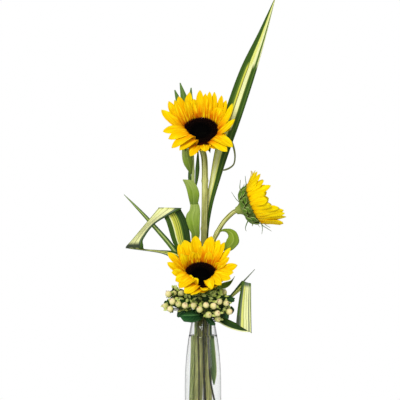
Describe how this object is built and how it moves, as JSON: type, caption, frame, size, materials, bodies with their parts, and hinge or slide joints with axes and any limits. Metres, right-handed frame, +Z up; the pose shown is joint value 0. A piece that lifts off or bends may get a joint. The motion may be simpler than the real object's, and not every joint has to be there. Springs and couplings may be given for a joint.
{
  "type": "sunflower arrangement in a vase",
  "caption": "Cut sunflowers with folded striped flax leaves, a leafy stem and pale berries, standing in a tall clear glass vase of water.",
  "frame": {"origin": "centre of the vase's flat base", "axes": "+Z up through the vase, -Y towards the side the open flowers face"},
  "size_m": [0.2769, 0.1377, 0.8421],
  "materials": {
    "clear_glass": "polished",
    "water": "polished",
    "flower_stem": "satin",
    "leafy_stem": "satin",
    "disc": "matte",
    "receptacle": "matte",
    "bract": "satin",
    "petal": "satin",
    "leafy_leaf": "satin",
    "flax_leaf": "satin",
    "berry_sprig": "gloss",
    "collar_leaf": "gloss"
  },
  "bodies": {
    "root": {"vase": "clear_glass", "water": "water", "top_flower_stem": "flower_stem", "right_flower_stem": "flower_stem", "low_flower_stem": "flower_stem", "leafy_stem": "leafy_stem", "top_flower_disc": "disc", "top_flower_receptacle": "receptacle", "top_flower_bracts": "bract", "top_flower_inner_petals": "petal", "top_flower_outer_petals": "petal", "right_flower_disc": "disc", "right_flower_receptacle": "receptacle", "right_flower_bracts": "bract", "right_flower_inner_petals": "petal", "right_flower_outer_petals": "petal", "low_flower_disc": "disc", "low_flower_receptacle": "receptacle", "low_flower_bracts": "bract", "low_flower_inner_petals": "petal", "low_flower_outer_petals": "petal", "lower_clasping_leaf": "leafy_leaf", "upper_clasping_leaf": "leafy_leaf", "dark_side_leaf": "leafy_leaf", "narrow_side_leaf": "leafy_leaf", "curled_side_leaf": "leafy_leaf", "tip_leaf_left": "leafy_leaf", "tip_leaf_middle": "leafy_leaf", "tip_leaf_right": "leafy_leaf", "curled_top_leaf": "leafy_leaf", "curled_right_leaf": "leafy_leaf", "tall_flax_leaf": "flax_leaf", "left_folded_flax_leaf": "flax_leaf", "left_spike_leaf": "flax_leaf", "right_folded_flax_leaf": "flax_leaf", "right_spike_leaf": "flax_leaf", "left_berry_sprig": "berry_sprig", "middle_berry_sprig": "berry_sprig", "right_berry_sprig": "berry_sprig", "back_berry_sprig": "berry_sprig", "large_collar_leaf": "collar_leaf", "small_left_leaf": "collar_leaf", "front_tip_leaf": "collar_leaf", "upper_right_leaf": "collar_leaf", "lower_right_leaf": "collar_leaf", "back_collar_leaf": "collar_leaf"}
  },
  "joints": []
}
